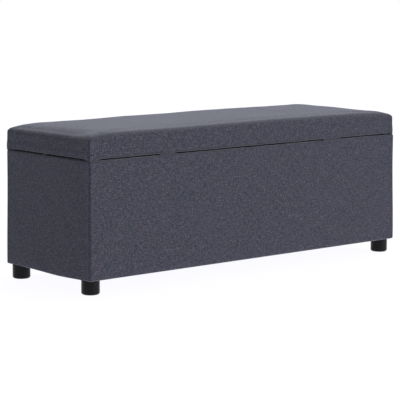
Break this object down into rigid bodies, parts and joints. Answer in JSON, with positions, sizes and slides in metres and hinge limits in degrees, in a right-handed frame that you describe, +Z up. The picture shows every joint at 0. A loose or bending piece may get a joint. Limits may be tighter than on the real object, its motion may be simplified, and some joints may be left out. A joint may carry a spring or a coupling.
{
  "type": "storage bench",
  "caption": "Long upholstered storage bench: fabric-covered box on short round feet, with a padded lid that hinges up along its back edge.",
  "frame": {"origin": "on the floor, under the middle of the box's footprint", "axes": "+Z up, +X to the right along the length, -Y towards the front (the side away from the hinges)"},
  "size_m": [1.16, 0.3847, 0.44],
  "materials": {
    "upholstery": "matte",
    "lining": "matte",
    "wadding": "matte",
    "foam": "matte",
    "foot_plastic": "satin",
    "bumper_rubber": "matte",
    "zinc_steel": "satin",
    "fastener_steel": "satin",
    "board": "matte"
  },
  "bodies": {
    "box": {"back_cover": "upholstery", "back_lining": "lining", "back_panel": "board", "back_wadding": "wadding", "box_hardware_screws": "fastener_steel", "cross_batten": "board", "dust_cover": "lining", "floor_lining": "lining", "floor_panel": "board", "floor_rail_back": "board", "floor_rail_front": "board", "floor_rail_left": "board", "floor_rail_right": "board", "foot_back_left": "foot_plastic", "foot_back_right": "foot_plastic", "foot_block_back_left": "board", "foot_block_back_right": "board", "foot_block_front_left": "board", "foot_block_front_right": "board", "foot_front_left": "foot_plastic", "foot_front_right": "foot_plastic", "foot_studs": "fastener_steel", "front_cover": "upholstery", "front_lining": "lining", "front_panel": "board", "front_wadding": "wadding", "hinge_left_box_leaf": "zinc_steel", "hinge_middle_box_leaf": "zinc_steel", "hinge_pins": "zinc_steel", "hinge_right_box_leaf": "zinc_steel", "left_cover": "upholstery", "left_lining": "lining", "left_panel": "board", "left_wadding": "wadding", "panel_screws": "fastener_steel", "right_cover": "upholstery", "right_lining": "lining", "right_panel": "board", "right_wadding": "wadding", "rim_bumpers": "bumper_rubber", "staples": "fastener_steel", "stay_left_box_bracket": "zinc_steel", "stay_pins": "zinc_steel", "stay_right_box_bracket": "zinc_steel", "tee_nuts": "fastener_steel"},
    "lid": {"hinge_left_lid_leaf": "zinc_steel", "hinge_middle_lid_leaf": "zinc_steel", "hinge_right_lid_leaf": "zinc_steel", "lid_board": "board", "lid_cover": "upholstery", "lid_hardware_screws": "fastener_steel", "lid_lining": "lining", "seat_foam": "foam", "seat_wadding": "wadding", "stay_left_lid_bracket": "zinc_steel", "stay_pivots": "zinc_steel", "stay_right_lid_bracket": "zinc_steel"},
    "stay_arm_left": {"stay_left_arm": "zinc_steel"},
    "stay_arm_right": {"stay_right_arm": "zinc_steel"}
  },
  "joints": [
    {"name": "lid_hinge", "type": "hinge", "parent": "box", "child": "lid", "pos_m": [0, 0.1915, 0.3615], "axis": [-1, 0, 0], "range_deg": [0, 95]},
    {"name": "stay_left_pivot", "type": "hinge", "parent": "lid", "child": "stay_arm_left", "pos_m": [-0.558, 0.04183, 0.3515], "axis": [-1, 0, 0], "range_deg": [-47.5, 0]},
    {"name": "stay_right_pivot", "type": "hinge", "parent": "lid", "child": "stay_arm_right", "pos_m": [0.558, 0.04183, 0.3515], "axis": [-1, 0, 0], "range_deg": [-47.5, 0]}
  ],
  "couplings": [
    {"joint": "stay_left_pivot", "follows": "lid_hinge", "ratio": -0.5},
    {"joint": "stay_right_pivot", "follows": "lid_hinge", "ratio": -0.5}
  ]
}
